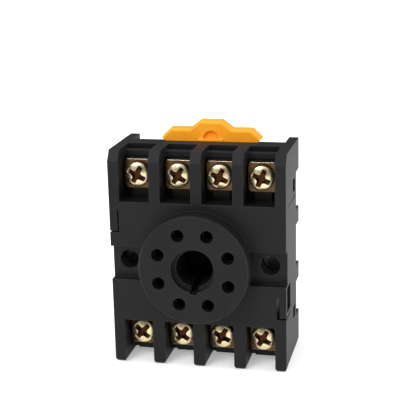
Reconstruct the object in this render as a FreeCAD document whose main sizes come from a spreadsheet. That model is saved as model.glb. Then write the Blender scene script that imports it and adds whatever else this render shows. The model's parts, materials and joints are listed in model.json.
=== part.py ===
"""Eight-pin relay socket with screw terminals, a rail channel and a sliding rail latch.

Every sub-part is drawn in the socket's own directions: X to the right, Y into the depth from the
front face, Z up from the centre of the boss. Its Placement then lifts it to the row frame, whose
origin is the bottom centre of the whole socket.
"""
import FreeCAD
import Part
import math
import os
import re
import Sketcher

DOCUMENT = "relay_socket"
SHEET = "Sizes"
FAR = 1.0
NEAR = 1e-4

SIZES = [
    ("overall_width", 40.8, "width across the side walls"),
    ("top_reach", 26.0, "boss centre to the top end"),
    ("bottom_reach", 25.0, "boss centre to the bottom end"),
    ("body_depth", 19.8, "front face to back face"),
    ("end_chamfer", 1.5, "chamfer along the front edge of the top end"),
    ("foot_round", 0.9, "rounding along the front edge of the bottom end"),
    ("front_wall", 5.5, "thickness of the front wall"),
    ("side_wall", 2.2, "thickness of the side walls beside the base"),
    ("base_depth", 7.0, "depth of the base behind the barriers"),
    ("band_top", 3.6, "upper edge of the recessed band with the mounting holes"),
    ("band_bottom", 4.4, "lower edge of the recessed band"),
    ("band_depth", 2.0, "depth of the recessed band"),
    ("rail_width", 35.2, "height of the rail channel"),
    ("rail_shift", 1.0, "rail centre above the boss centre"),
    ("rail_depth", 4.2, "depth of the rail channel"),
    ("rib_low_bottom", 9.2, "lower rail rib: bottom edge below the rail centre"),
    ("rib_low_top", 5.3, "lower rail rib: top edge below the rail centre"),
    ("rib_high_bottom", 4.8, "upper rail rib: bottom edge above the rail centre"),
    ("rib_high_top", 8.5, "upper rail rib: top edge above the rail centre"),
    ("terminal_pitch", 9.6, "distance between neighbouring terminals"),
    ("upper_bay_width", 7.1, "width of an upper terminal bay"),
    ("lower_bay_width", 6.8, "width of a lower terminal bay"),
    ("upper_floor", 5.7, "floor of the upper bays below their screws"),
    ("lower_floor", 3.9, "floor of the lower bays above their screws"),
    ("upper_inset", 6.1, "upper screws below the top end"),
    ("lower_inset", 6.8, "lower screws above the bottom end"),
    ("bar_front", 6.4, "depth of the front of the wire bar and of the pedestals"),
    ("bar_depth", 1.6, "thickness of the wire bar"),
    ("bar_height", 1.4, "height of the wire bar"),
    ("bar_setback", 1.0, "wire bar below the end of the barriers"),
    ("lower_setback", 1.6, "lower wire bar inside the end of the barriers"),
    ("slot_depth", 1.4, "open slot behind the wire bar"),
    ("chamber_wall", 1.2, "wall between the bays and the contact chamber"),
    ("fit_gap", 0.15, "gap between the base and the housing"),
    ("boss_radius", 12.7, "radius of the boss"),
    ("boss_rise", 4.6, "height of the boss above the front face"),
    ("boss_edge", 0.3, "chamfer round the boss"),
    ("pin_circle", 17.45, "diameter of the pin circle"),
    ("pin_hole", 1.5, "radius of a pin hole"),
    ("pin_hole_depth", 2.0, "length of a pin hole in front of the sleeve"),
    ("sleeve_room", 2.3, "radius of the chamber round a sleeve"),
    ("mouth_radius", 5.1, "radius of the wide mouth of the centre hole"),
    ("mouth_depth", 1.8, "depth of the wide mouth"),
    ("post_radius", 4.3, "radius of the centre hole"),
    ("post_room", 11.0, "depth that the relay's centre post may reach"),
    ("key_width", 1.75, "width of the key slot"),
    ("key_reach", 5.6, "reach of the key slot from the centre"),
    ("hole_spacing", 33.0, "distance between the mounting holes"),
    ("hole_radius", 2.25, "radius of a mounting hole"),
    ("clip_inset", 1.5, "thickness of the hold-down finger"),
    ("clip_slot", 0.7, "width of the hold-down slot"),
    ("clip_top", 6.9, "top of the hold-down slot below the boss centre"),
    ("clip_bottom", 12.3, "foot of the hold-down slot below the boss centre"),
    ("clip_foot", 0.5, "height of the slot's foot"),
    ("clip_depth", 6.3, "depth of the hold-down slot"),
    ("window_front", 1.3, "depth at which the side window starts"),
    ("window_top", 5.0, "top of the side window below the boss centre"),
    ("window_bottom", 11.0, "bottom of the side window below the boss centre"),
    ("snap_ahead", 2.2, "snap window in front of the base joint"),
    ("snap_behind", 0.8, "snap window behind the base joint"),
    ("snap_lower", 14.4, "centre of the lower snap windows below the boss centre"),
    ("snap_upper", 16.4, "centre of the upper snap windows above the boss centre"),
    ("snap_height", 3.0, "height of a snap window"),
    ("snap_reach", 1.3, "how far a snap hook stands out"),
    ("base_inset", 1.3, "top edge of the base below the top end"),
    ("base_lift", 0.3, "bottom edge of the base above the bottom end"),
    ("lip_depth", 1.3, "gap for the rail's edge under the fixed hook"),
    ("lip_reach", 1.3, "reach of the fixed rail hook"),
    ("pocket_web", 4.4, "web between the two hollows in the back of the bottom end"),
    ("pocket_width", 11.0, "width of a hollow in the back of the bottom end"),
    ("pocket_height", 4.4, "height of these hollows"),
    ("pocket_depth", 3.0, "depth of these hollows"),
    ("strip_thick", 0.9, "thickness of a contact strip"),
    ("plate_width", 6.3, "width of a terminal plate"),
    ("plate_height", 7.0, "height of a terminal plate"),
    ("strip_width", 4.0, "width of a contact strip"),
    ("elbow_inner", 13.2, "height of the bend in an inner contact strip"),
    ("elbow_outer", 11.4, "height of the bend in an outer contact strip"),
    ("sleeve_outer", 1.85, "outer radius of a pin sleeve"),
    ("sleeve_bore", 1.2, "inner radius of a pin sleeve"),
    ("sleeve_gap", 0.2, "gap between a sleeve's end and the pin hole"),
    ("sleeve_slit", 0.5, "slit along a pin sleeve"),
    ("washer_width", 6.4, "width of a clamp washer"),
    ("washer_height", 6.8, "height of a clamp washer"),
    ("washer_thick", 0.9, "thickness of a clamp washer"),
    ("washer_corner", 0.5, "chamfered corner of a clamp washer"),
    ("clamp_gap", 0.05, "gap between the washer and the terminal plate"),
    ("thread_radius", 1.75, "radius of a terminal screw's thread"),
    ("thread_gap", 0.05, "play of the thread in the terminal plate"),
    ("washer_play", 0.15, "play of the washer on the screw"),
    ("shank_length", 6.4, "length of a terminal screw under its head"),
    ("tip_chamfer", 0.5, "chamfer of a terminal screw's tip"),
    ("head_radius", 3.0, "radius of a screw head"),
    ("head_height", 2.0, "height of a screw head"),
    ("head_gap", 0.03, "running gap between the screw head and the washer"),
    ("head_round", 1.1, "rounding of a screw head"),
    ("cross_reach", 1.75, "length of one arm of the cross recess"),
    ("cross_width", 0.85, "width of the cross recess"),
    ("cross_depth", 1.2, "depth of the cross recess"),
    ("shank_room", 2.15, "radius of the hole for a screw in the pedestal"),
    ("latch_thick", 2.8, "thickness of the latch's head"),
    ("latch_half", 12.1, "half width of the latch's head"),
    ("latch_wing", 3.2, "height of the wings"),
    ("wing_undercut", 1.1, "slope of a wing's lower corner across the width"),
    ("wing_corner", 1.0, "height of that lower corner"),
    ("wing_slope", 2.3, "slope of a wing's upper corner across the width"),
    ("latch_hump", 5.1, "height of the hump"),
    ("hump_foot", 5.1, "half width of the hump at its foot"),
    ("hump_half", 2.6, "half width of the hump at its top"),
    ("latch_lift", 0.2, "gap between the latch's head and the base"),
    ("shank_half", 9.0, "half width of the latch's slide"),
    ("shank_thick", 1.5, "thickness of the latch's slide"),
    ("rib_half", 7.0, "half width of the rib on the slide"),
    ("slide_gap", 0.2, "running gap of the slide"),
    ("hook_reach", 1.6, "reach of the latch into the rail channel"),
    ("dome_radius", 1.9, "radius of the finger recess"),
    ("recess_depth", 0.8, "depth of the finger recess"),
    ("tongue_half", 2.9, "half width of the tongue below the recess"),
    ("tongue_rise", 0.9, "how far the tongue stands in front of the head"),
    ("bevel", 0.6, "bevel along the top of the latch"),
]

NAMES = {alias for alias, _, _ in SIZES}

HALF = "overall_width / 2"
FRONT = "(boss_rise - body_depth) / 2"
RAIL_FLOOR = "(body_depth - rail_depth)"
BASE_JOINT = "(body_depth - base_depth)"
BASE_TOP = "(top_reach - base_inset)"
BASE_BOTTOM = "(bottom_reach - base_lift)"
SNAP_FRONT = f"({BASE_JOINT} - snap_ahead)"
SNAP_BACK = f"({BASE_JOINT} + snap_behind)"
UPPER_TERMINAL = "(top_reach - upper_inset)"
LOWER_TERMINAL = "(bottom_reach - lower_inset)"
UPPER_LIP = f"({UPPER_TERMINAL} - upper_floor)"
LOWER_LIP = f"({LOWER_TERMINAL} - lower_floor)"
CORE_TOP = f"({UPPER_LIP} - chamber_wall)"
CORE_BOTTOM = f"({LOWER_LIP} - chamber_wall)"
LATCH_FRONT = "(body_depth - latch_thick)"
RAIL_TOP = "rail_shift + rail_width / 2"
RAIL_BOTTOM = "rail_shift - rail_width / 2"
WELL_TOP = "top_reach - bar_setback - bar_height"
WELL_BOTTOM = "bottom_reach - lower_setback - bar_height"
SLOT_BACK = "bar_front + bar_depth + slot_depth"
BASE_HALF = f"{HALF} - side_wall - fit_gap"
PLATE_FRONT = "bar_front - strip_thick"
SEAT = f"{PLATE_FRONT} - clamp_gap - washer_thick"
SLEEVE_FRONT = "boss_rise - pin_hole_depth"
HEAD_FLOOR = f"{BASE_TOP} + latch_lift"
HOOK_END = f"{RAIL_TOP} - hook_reach"
FIRST_COLUMN = "-1.5 * terminal_pitch"

# terminal number: column right of the centre in pitches, row, turn of the cross recess
TERMINALS = {
    1: (0.5, "lower", 24),
    2: (1.5, "lower", 35),
    3: (1.5, "upper", 38),
    4: (0.5, "upper", 20),
    5: (-0.5, "upper", 52),
    6: (-1.5, "upper", 48),
    7: (-1.5, "lower", 15),
    8: (-0.5, "lower", 30),
}
FIRST_PIN_ANGLE = -67.5
PIN_STEP = 45

doc = FreeCAD.newDocument(DOCUMENT)
sheet = doc.addObject("Spreadsheet::Sheet", SHEET)


def fill_sheet():
    """Write every driving dimension to the sheet, one row each."""
    for row, (alias, size, note) in enumerate(SIZES, start=1):
        sheet.set(f"A{row}", note)
        sheet.set(f"B{row}", str(size))
        sheet.setAlias(f"B{row}", alias)
    doc.recompute()


def bound(text):
    """Turn plain size names into references to the sheet."""
    return re.sub(r"[a-z]+(?:_[a-z]+)*",
                  lambda word: f"{SHEET}.{word[0]}" if word[0] in NAMES else word[0], text)


def value(text):
    """Work out an expression with the sheet's numbers."""
    return float(sheet.evalExpression(bound(text)))


def new_body(label, x="0", depth="0", height="0", turn=0.0):
    """Start a sub-part whose place is given in the socket's own directions."""
    body = doc.addObject("PartDesign::Body", label)
    body.Label = label
    turned = FreeCAD.Rotation(FreeCAD.Vector(0, 1, 0), turn)
    body.Placement = FreeCAD.Placement(FreeCAD.Vector(), turned)
    body.setExpression("Placement.Base.x", bound(x))
    body.setExpression("Placement.Base.y", bound(f"{FRONT} + {depth}"))
    body.setExpression("Placement.Base.z", bound(f"bottom_reach + {height}"))
    return body


def origin(body, role):
    """Find one of the body's own origin planes or axes."""
    return next(item for item in body.Origin.OriginFeatures if item.Role == role)


def sketch_on(body, role, offset="0"):
    """Start a sketch on an origin plane, moved along the plane's normal."""
    sketch = body.newObject("Sketcher::SketchObject", "Sketch")
    sketch.AttachmentSupport = [(origin(body, role), "")]
    sketch.MapMode = "FlatFace"
    sketch.setExpression("AttachmentOffset.Base.z", bound(offset))
    return sketch


def front_sketch(body, depth="0"):
    """Start a sketch parallel to the front face, at a depth behind it."""
    return sketch_on(body, "XZ_Plane", f"-({depth})")


def side_sketch(body, x="0"):
    """Start a sketch of depth against height, at a place along the width."""
    return sketch_on(body, "YZ_Plane", x)


def bind(sketch, constraint, text):
    """Add a constraint whose value follows an expression."""
    number = sketch.addConstraint(constraint)
    sketch.renameConstraint(number, f"size{number}")
    sketch.setExpression(f"Constraints.size{number}", bound(text))


def place(sketch, geometry, point, x, y):
    """Hold a point of the sketch at two expressions."""
    bind(sketch, Sketcher.Constraint("DistanceX", geometry, point, value(x)), x)
    bind(sketch, Sketcher.Constraint("DistanceY", geometry, point, value(y)), y)


def polygon(sketch, corners):
    """Draw a closed polygon through corners given as expressions."""
    first = sketch.GeometryCount
    points = [FreeCAD.Vector(value(x), value(y), 0) for x, y in corners]
    count = len(points)
    for index in range(count):
        sketch.addGeometry(Part.LineSegment(points[index], points[(index + 1) % count]), False)
    for index in range(count):
        following = first + (index + 1) % count
        sketch.addConstraint(Sketcher.Constraint("Coincident", first + index, 2, following, 1))
    for index, (x, y) in enumerate(corners):
        place(sketch, first + index, 1, x, y)


def rectangle(sketch, left, right, low, high):
    """Draw a rectangle between four expressions."""
    polygon(sketch, [(left, low), (right, low), (right, high), (left, high)])


def circle(sketch, x, y, radius):
    """Draw a circle with its centre and radius bound."""
    centre = FreeCAD.Vector(value(x), value(y), 0)
    number = sketch.addGeometry(Part.Circle(centre, FreeCAD.Vector(0, 0, 1), value(radius)), False)
    place(sketch, number, 3, x, y)
    bind(sketch, Sketcher.Constraint("Radius", number, value(radius)), radius)


def round_bar(sketch, start, end, radius):
    """Draw a round-ended bar between two points given as expressions."""
    first = sketch.GeometryCount
    reach = value(radius)
    near = FreeCAD.Vector(value(start[0]), value(start[1]), 0)
    far = FreeCAD.Vector(value(end[0]), value(end[1]), 0)
    turn = math.atan2(far.y - near.y, far.x - near.x)
    across = FreeCAD.Vector(-math.sin(turn), math.cos(turn), 0) * reach
    up = FreeCAD.Vector(0, 0, 1)
    right, left = turn - math.pi / 2, turn + math.pi / 2
    far_end = Part.ArcOfCircle(Part.Circle(far, up, reach), right, left)
    near_end = Part.ArcOfCircle(Part.Circle(near, up, reach), left, left + math.pi)
    sketch.addGeometry(far_end, False)
    sketch.addGeometry(Part.LineSegment(far + across, near + across), False)
    sketch.addGeometry(near_end, False)
    sketch.addGeometry(Part.LineSegment(near - across, far - across), False)
    for index in range(4):
        following = first + (index + 1) % 4
        sketch.addConstraint(Sketcher.Constraint("Tangent", first + index, 2, following, 1))
    sketch.addConstraint(Sketcher.Constraint("Equal", first, first + 2))
    place(sketch, first, 3, *end)
    place(sketch, first + 2, 3, *start)
    bind(sketch, Sketcher.Constraint("Radius", first, reach), radius)


def extrude(body, kind, sketch, length, backwards=False, both_ways=False):
    """Make a pad or a pocket of a sketch and see that it changed the solid."""
    before = body.Shape.Volume if body.Tip else 0.0
    feature = body.newObject(kind, kind.split("::")[1])
    feature.Profile = sketch
    feature.setExpression("Length", bound(length))
    feature.Reversed = backwards
    feature.Midplane = both_ways
    doc.recompute()
    change = body.Shape.Volume - before
    if (kind.endswith("Pad") and change <= 0) or (kind.endswith("Pocket") and change >= 0):
        raise ValueError(f"{body.Label}: {feature.Name} changed nothing")
    return feature


def pad(body, sketch, length, **options):
    """Add material over a sketch."""
    return extrude(body, "PartDesign::Pad", sketch, length, **options)


def pocket(body, sketch, length, **options):
    """Cut material over a sketch."""
    return extrude(body, "PartDesign::Pocket", sketch, length, **options)


def row_of_four(body, features):
    """Repeat features for the four terminals of a row."""
    pattern = body.newObject("PartDesign::LinearPattern", "LinearPattern")
    pattern.Originals = features
    pattern.Direction = (origin(body, "X_Axis"), [""])
    pattern.setExpression("Length", bound("3 * terminal_pitch"))
    pattern.Occurrences = 4
    body.Tip = pattern
    doc.recompute()


def ring(body, features, count):
    """Repeat features round the boss's axis."""
    pattern = body.newObject("PartDesign::PolarPattern", "PolarPattern")
    pattern.Originals = features
    pattern.Axis = (origin(body, "Y_Axis"), [""])
    pattern.Angle = 360
    pattern.Occurrences = count
    body.Tip = pattern
    doc.recompute()


def mirrored(body, features):
    """Repeat features on the other side of the middle plane."""
    mirror = body.newObject("PartDesign::Mirrored", "Mirrored")
    mirror.Originals = features
    mirror.MirrorPlane = (origin(body, "YZ_Plane"), [""])
    body.Tip = mirror
    doc.recompute()


def dress_edges(body, kind, size, wanted):
    """Fillet or chamfer the edges for which wanted says yes."""
    base = body.Tip
    edges = enumerate(base.Shape.Edges, start=1)
    names = [f"Edge{number}" for number, edge in edges if wanted(edge)]
    if not names:
        raise ValueError(f"{body.Label}: no edge for {kind}")
    feature = body.newObject(kind, kind.split("::")[1])
    feature.Base = (base, names)
    feature.setExpression("Size" if kind.endswith("Chamfer") else "Radius", bound(size))
    doc.recompute()


def flat_in(edge, axis, place_text):
    """Tell whether an edge lies wholly at one value of an axis."""
    box = edge.BoundBox
    low, high = getattr(box, f"{axis}Min"), getattr(box, f"{axis}Max")
    goal = value(place_text)
    return abs(low - goal) < NEAR and abs(high - goal) < NEAR


def rail_side(hook):
    """List the corners of the rail channel in the side profile, from the top end down."""
    corners = [("body_depth", RAIL_TOP), (RAIL_FLOOR, RAIL_TOP)]
    for edge in ("rail_shift + rib_high_top", "rail_shift + rib_high_bottom",
                 "rail_shift - rib_low_top", "rail_shift - rib_low_bottom"):
        starts = edge.endswith("high_top") or edge.endswith("low_top")
        depths = (RAIL_FLOOR, "body_depth") if starts else ("body_depth", RAIL_FLOOR)
        corners += [(depth, edge) for depth in depths]
    corners.append((RAIL_FLOOR, RAIL_BOTTOM))
    if hook:
        under = f"{RAIL_FLOOR} + lip_depth"
        corners += [(under, RAIL_BOTTOM), (under, f"{RAIL_BOTTOM} + lip_reach"),
                    ("body_depth - lip_reach / 2", f"{RAIL_BOTTOM} + lip_reach")]
    corners.append(("body_depth", RAIL_BOTTOM))
    return corners


def pin_place(angle):
    """Give the two expressions of a pin's place for its angle in degrees."""
    return (f"pin_circle / 2 * cos({angle} deg)", f"pin_circle / 2 * sin({angle} deg)")


def housing_bays(body, sign, lip, core, well, reach, setback, width):
    """Cut one row of terminal bays, leaving the wire bar across each."""
    sketch = side_sketch(body, FIRST_COLUMN)
    polygon(sketch, [
        (f"-{FAR}", f"{sign}({lip})"),
        ("front_wall", f"{sign}({lip})"),
        ("front_wall", f"{sign}({core} - {FAR})"),
        (f"{BASE_JOINT} + {FAR}", f"{sign}({core} - {FAR})"),
        (f"{BASE_JOINT} + {FAR}", f"{sign}({well})"),
        (SLOT_BACK, f"{sign}({well})"),
        (SLOT_BACK, f"{sign}({reach} + {FAR})"),
        (f"-{FAR}", f"{sign}({reach} + {FAR})"),
    ])
    rectangle(sketch, "bar_front", "bar_front + bar_depth", f"{sign}({well})", f"{sign}({reach} - {setback})")
    bay = pocket(body, sketch, width, both_ways=True)
    row_of_four(body, [bay])


def housing_block(body):
    """Pad the side profile across the width and hollow it for the base."""
    sketch = side_sketch(body)
    polygon(sketch, [
        ("0", "-bottom_reach"),
        ("0", "-band_bottom"),
        ("band_depth", "-band_bottom"),
        ("band_depth", "band_top"),
        ("0", "band_top"),
        ("0", "top_reach - end_chamfer"),
        ("end_chamfer", "top_reach"),
        ("body_depth", "top_reach"),
        *rail_side(hook=False),
        ("body_depth", "-bottom_reach"),
    ])
    pad(body, sketch, "overall_width", both_ways=True)
    dress_edges(body, "PartDesign::Fillet", "foot_round",
                lambda edge: flat_in(edge, "Y", "0") and flat_in(edge, "Z", "-bottom_reach"))
    inner = f"{HALF} - side_wall"
    recess = front_sketch(body, BASE_JOINT)
    rectangle(recess, f"-({inner})", inner, f"-bottom_reach - {FAR}", f"top_reach + {FAR}")
    pocket(body, recess, f"body_depth - {BASE_JOINT} + {FAR}")
    chamber = front_sketch(body, "front_wall")
    rectangle(chamber, f"-({inner})", inner, f"-{CORE_BOTTOM}", CORE_TOP)
    pocket(body, chamber, f"{BASE_JOINT} - front_wall + {FAR}")


def housing_boss(body):
    """Add the boss with its pin holes and the keyed centre hole."""
    sketch = front_sketch(body, "front_wall / 2")
    circle(sketch, "0", "0", "boss_radius")
    pad(body, sketch, "front_wall / 2 + boss_rise")
    dress_edges(body, "PartDesign::Chamfer", "boss_edge", lambda edge: flat_in(edge, "Y", "-boss_rise"))
    pin_x, pin_z = pin_place(FIRST_PIN_ANGLE)
    lead = front_sketch(body, "-boss_rise")
    circle(lead, pin_x, pin_z, "pin_hole")
    lead_cut = pocket(body, lead, "pin_hole_depth")
    room = front_sketch(body, f"-({SLEEVE_FRONT})")
    circle(room, pin_x, pin_z, "sleeve_room")
    room_cut = pocket(body, room, f"{SLEEVE_FRONT} + front_wall + {FAR}")
    ring(body, [lead_cut, room_cut], len(TERMINALS))
    mouth = front_sketch(body, "-boss_rise")
    circle(mouth, "0", "0", "mouth_radius")
    pocket(body, mouth, "mouth_depth")
    post = front_sketch(body, "-boss_rise")
    circle(post, "0", "0", "post_radius")
    pocket(body, post, f"boss_rise + front_wall + {FAR}")
    key = front_sketch(body, "-boss_rise")
    rectangle(key, "-key_width / 2", "key_width / 2", "-key_reach", "0")
    pocket(body, key, f"boss_rise + front_wall + {FAR}")


def mounting_holes(body, depth, length):
    """Drill the two mounting holes from a depth."""
    sketch = front_sketch(body, depth)
    circle(sketch, "hole_spacing / 2", "0", "hole_radius")
    circle(sketch, "-hole_spacing / 2", "0", "hole_radius")
    pocket(body, sketch, length)


def housing_clips(body):
    """Cut the two hold-down clip slots and their side windows, point-symmetric about the boss."""
    inner = f"{HALF} - clip_inset - clip_slot"
    slot = front_sketch(body, f"-{FAR}")
    polygon(slot, [
        (inner, "-clip_bottom"),
        (f"{HALF} + {FAR}", "-clip_bottom"),
        (f"{HALF} + {FAR}", "-clip_bottom + clip_foot"),
        (f"{HALF} - clip_inset", "-clip_bottom + clip_foot"),
        (f"{HALF} - clip_inset", "-clip_top"),
        (inner, "-clip_top"),
    ])
    slot_cut = pocket(body, slot, f"clip_depth + {FAR}")
    window = side_sketch(body, f"{HALF} + {FAR}")
    rectangle(window, "window_front", "clip_depth", "-window_bottom", "-window_top")
    window_cut = pocket(body, window, f"clip_inset + {FAR}")
    ring(body, [slot_cut, window_cut], 2)


def housing_snaps(body):
    """Cut the snap windows in both side walls."""
    sketch = side_sketch(body, f"{HALF} + {FAR}")
    for centre in ("-snap_lower", "snap_upper"):
        rectangle(sketch, SNAP_FRONT, SNAP_BACK,
                  f"{centre} - snap_height / 2", f"{centre} + snap_height / 2")
    windows = pocket(body, sketch, f"{HALF} + {FAR} - 1.5 * terminal_pitch - lower_bay_width / 2 + {FAR}")
    mirrored(body, [windows])


def make_housing():
    """Build the moulded front shell."""
    body = new_body("housing")
    housing_block(body)
    housing_bays(body, "", UPPER_LIP, CORE_TOP, WELL_TOP, "top_reach", "bar_setback",
                 "upper_bay_width")
    housing_bays(body, "-", LOWER_LIP, CORE_BOTTOM, WELL_BOTTOM, "bottom_reach",
                 "lower_setback", "lower_bay_width")
    housing_boss(body)
    mounting_holes(body, "0", f"front_wall + {FAR}")
    housing_clips(body)
    housing_snaps(body)
    return body


def base_row(body, sign, core, well, height, width):
    """Raise one row of pedestals with a clearance hole for each screw."""
    half = f"({width} / 2 - fit_gap)"
    post = front_sketch(body, BASE_JOINT)
    rectangle(post, f"{FIRST_COLUMN} - {half}", f"{FIRST_COLUMN} + {half}",
              f"{sign}({core} - {FAR})", f"{sign}({well} - fit_gap)")
    pedestal = pad(body, post, f"{BASE_JOINT} - bar_front")
    hole = front_sketch(body, "bar_front")
    circle(hole, FIRST_COLUMN, f"{sign}({height})", "shank_room")
    drilled = pocket(body, hole, "shank_length")
    row_of_four(body, [pedestal, drilled])


def base_snaps(body):
    """Add the four snap hooks that catch in the side windows."""
    for centre in ("-snap_lower", "snap_upper"):
        sketch = sketch_on(body, "XY_Plane", centre)
        root = "1.5 * terminal_pitch + lower_bay_width / 2 - fit_gap"
        tip = f"{root} + snap_reach + fit_gap"
        polygon(sketch, [
            (f"{root} - {FAR}", f"{SNAP_FRONT} + fit_gap"),
            (root, f"{SNAP_FRONT} + fit_gap"),
            (tip, f"{SNAP_BACK} - 2 * fit_gap - snap_reach / 2"),
            (tip, f"{SNAP_BACK} - 2 * fit_gap"),
            (f"{root} - {FAR}", f"{SNAP_BACK} - 2 * fit_gap"),
        ])
        hook = pad(body, sketch, "snap_height - 4 * fit_gap", both_ways=True)
        mirrored(body, [hook])


def make_rear_base():
    """Build the moulded base with the rail channel, its fixed hook and the latch guide."""
    body = new_body("rear_base")
    sketch = side_sketch(body)
    polygon(sketch, [
        (BASE_JOINT, f"-{BASE_BOTTOM}"),
        (BASE_JOINT, BASE_TOP),
        ("body_depth", BASE_TOP),
        *rail_side(hook=True),
        ("body_depth", f"-{BASE_BOTTOM}"),
    ])
    pad(body, sketch, f"2 * ({BASE_HALF})", both_ways=True)
    core = front_sketch(body, BASE_JOINT)
    rectangle(core, f"-({BASE_HALF})", BASE_HALF, f"-{CORE_BOTTOM} + fit_gap", f"{CORE_TOP} - fit_gap")
    pad(body, core, f"{BASE_JOINT} - bar_front")
    base_row(body, "", CORE_TOP, WELL_TOP, UPPER_TERMINAL, "upper_bay_width")
    base_row(body, "-", CORE_BOTTOM, WELL_BOTTOM, LOWER_TERMINAL, "lower_bay_width")
    relief = front_sketch(body, "bar_front")
    circle(relief, *pin_place(FIRST_PIN_ANGLE), "pin_hole")
    relief_cut = pocket(body, relief, "pin_hole_depth")
    ring(body, [relief_cut], len(TERMINALS))
    post = front_sketch(body, "bar_front")
    circle(post, "0", "0", "mouth_radius")
    pocket(body, post, "post_room - bar_front")
    mounting_holes(body, f"bar_front - {FAR}", f"body_depth - bar_front + 2 * {FAR}")
    guide = sketch_on(body, "XY_Plane", f"{BASE_TOP} + {FAR}")
    wide = "shank_half + slide_gap"
    narrow = "rib_half + slide_gap"
    inside = f"{LATCH_FRONT} + shank_thick + slide_gap"
    polygon(guide, [
        (f"-({wide})", f"{LATCH_FRONT} - slide_gap"),
        (wide, f"{LATCH_FRONT} - slide_gap"),
        (wide, inside),
        (narrow, inside),
        (narrow, f"body_depth + {FAR}"),
        (f"-({narrow})", f"body_depth + {FAR}"),
        (f"-({narrow})", inside),
        (f"-({wide})", inside),
    ])
    pocket(body, guide, f"{BASE_TOP} - ({RAIL_TOP}) + 2 * {FAR}")
    hollow = front_sketch(body, "body_depth - pocket_depth")
    middle = f"({BASE_BOTTOM} - ({RAIL_BOTTOM})) / 2"
    for side in ("", "-"):
        rectangle(hollow, f"{side}(pocket_web / 2 + pocket_width)", f"{side}(pocket_web / 2)",
                  f"-({middle} + pocket_height / 2)", f"-({middle} - pocket_height / 2)")
    pocket(body, hollow, f"pocket_depth + {FAR}")
    base_snaps(body)
    return body


def make_latch():
    """Build the sliding rail latch: head, guided slide, rib and hook."""
    body = new_body("rail_latch")
    slide = front_sketch(body, LATCH_FRONT)
    rectangle(slide, "-shank_half", "shank_half", HOOK_END, f"{HEAD_FLOOR} + latch_wing / 2")
    pad(body, slide, "shank_thick", backwards=True)
    rib = front_sketch(body, LATCH_FRONT)
    rectangle(rib, "-rib_half", "rib_half", HOOK_END, f"{HEAD_FLOOR} + latch_wing / 2")
    pad(body, rib, "latch_thick", backwards=True)
    head = front_sketch(body, LATCH_FRONT)
    right = [
        ("latch_half - wing_undercut", HEAD_FLOOR),
        ("latch_half", f"{HEAD_FLOOR} + wing_corner"),
        ("latch_half - wing_slope", f"{HEAD_FLOOR} + latch_wing"),
        ("hump_foot", f"{HEAD_FLOOR} + latch_wing"),
        ("hump_half", f"{HEAD_FLOOR} + latch_hump"),
    ]
    left = [(f"-({x})", z) for x, z in reversed(right)]
    polygon(head, right + left)
    pad(body, head, "latch_thick", backwards=True)
    dress_edges(body, "PartDesign::Chamfer", "bevel", on_latch_crest)
    slope = side_sketch(body)
    polygon(slope, [
        (f"{LATCH_FRONT} + shank_thick / 2", f"{HOOK_END} - {FAR}"),
        (f"{LATCH_FRONT} + shank_thick / 2", HOOK_END),
        (f"{LATCH_FRONT} + latch_thick + {FAR}", f"{HOOK_END} + hook_reach + {FAR}"),
        (f"{LATCH_FRONT} + latch_thick + {FAR}", f"{HOOK_END} - {FAR}"),
    ])
    pocket(body, slope, f"2 * shank_half + {FAR}", both_ways=True)
    dome = front_sketch(body, f"{LATCH_FRONT} - {FAR}")
    circle(dome, "0", f"{HEAD_FLOOR} + recess_depth", "dome_radius")
    pocket(body, dome, f"recess_depth + {FAR}")
    tongue = front_sketch(body, f"{LATCH_FRONT} + recess_depth")
    rectangle(tongue, "-tongue_half", "tongue_half", HEAD_FLOOR, f"{HEAD_FLOOR} + recess_depth")
    pad(body, tongue, "recess_depth + tongue_rise")
    return body


def on_latch_crest(edge):
    """Tell whether an edge runs along the top of the latch head's front face."""
    crest = value(f"{HEAD_FLOOR} + wing_corner") - NEAR
    return flat_in(edge, "Y", LATCH_FRONT) and edge.BoundBox.ZMin > crest


def make_contact(number):
    """Build one contact: threaded terminal plate, strip and slit pin sleeve."""
    column, row, _ = TERMINALS[number]
    sign = "" if row == "upper" else "-"
    x = f"{column} * terminal_pitch"
    z = UPPER_TERMINAL if row == "upper" else f"-{LOWER_TERMINAL}"
    elbow = f"{sign}elbow_{'outer' if abs(column) > 1 else 'inner'}"
    pin = pin_place(FIRST_PIN_ANGLE + PIN_STEP * (number - 1))
    body = new_body(f"contact_{number}")
    plate = front_sketch(body, PLATE_FRONT)
    rectangle(plate, f"{x} - plate_width / 2", f"{x} + plate_width / 2",
              f"{z} - plate_height / 2", f"{z} + plate_height / 2")
    pad(body, plate, "strip_thick", backwards=True)
    neck = front_sketch(body, PLATE_FRONT)
    round_bar(neck, (x, z), (x, elbow), "strip_width / 2")
    pad(body, neck, "strip_thick", backwards=True)
    link = front_sketch(body, PLATE_FRONT)
    round_bar(link, (x, elbow), pin, "strip_width / 2")
    pad(body, link, "strip_thick", backwards=True)
    sleeve = front_sketch(body, PLATE_FRONT)
    circle(sleeve, *pin, "sleeve_outer")
    length = f"{PLATE_FRONT} + {SLEEVE_FRONT} - sleeve_gap"
    pad(body, sleeve, length)
    bore = front_sketch(body, f"-({SLEEVE_FRONT})")
    circle(bore, *pin, "sleeve_bore")
    pocket(body, bore, f"bar_front + {SLEEVE_FRONT} + {FAR}")
    slit = front_sketch(body, f"-({SLEEVE_FRONT})")
    rectangle(slit, f"{pin[0]} - sleeve_slit / 2", f"{pin[0]} + sleeve_slit / 2",
              pin[1], f"{pin[1]} {sign or '+'} (sleeve_outer + {FAR})")
    pocket(body, slit, length)
    thread = front_sketch(body, PLATE_FRONT)
    circle(thread, x, z, "thread_radius + thread_gap")
    pocket(body, thread, f"strip_thick + {FAR}")
    return body


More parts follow.
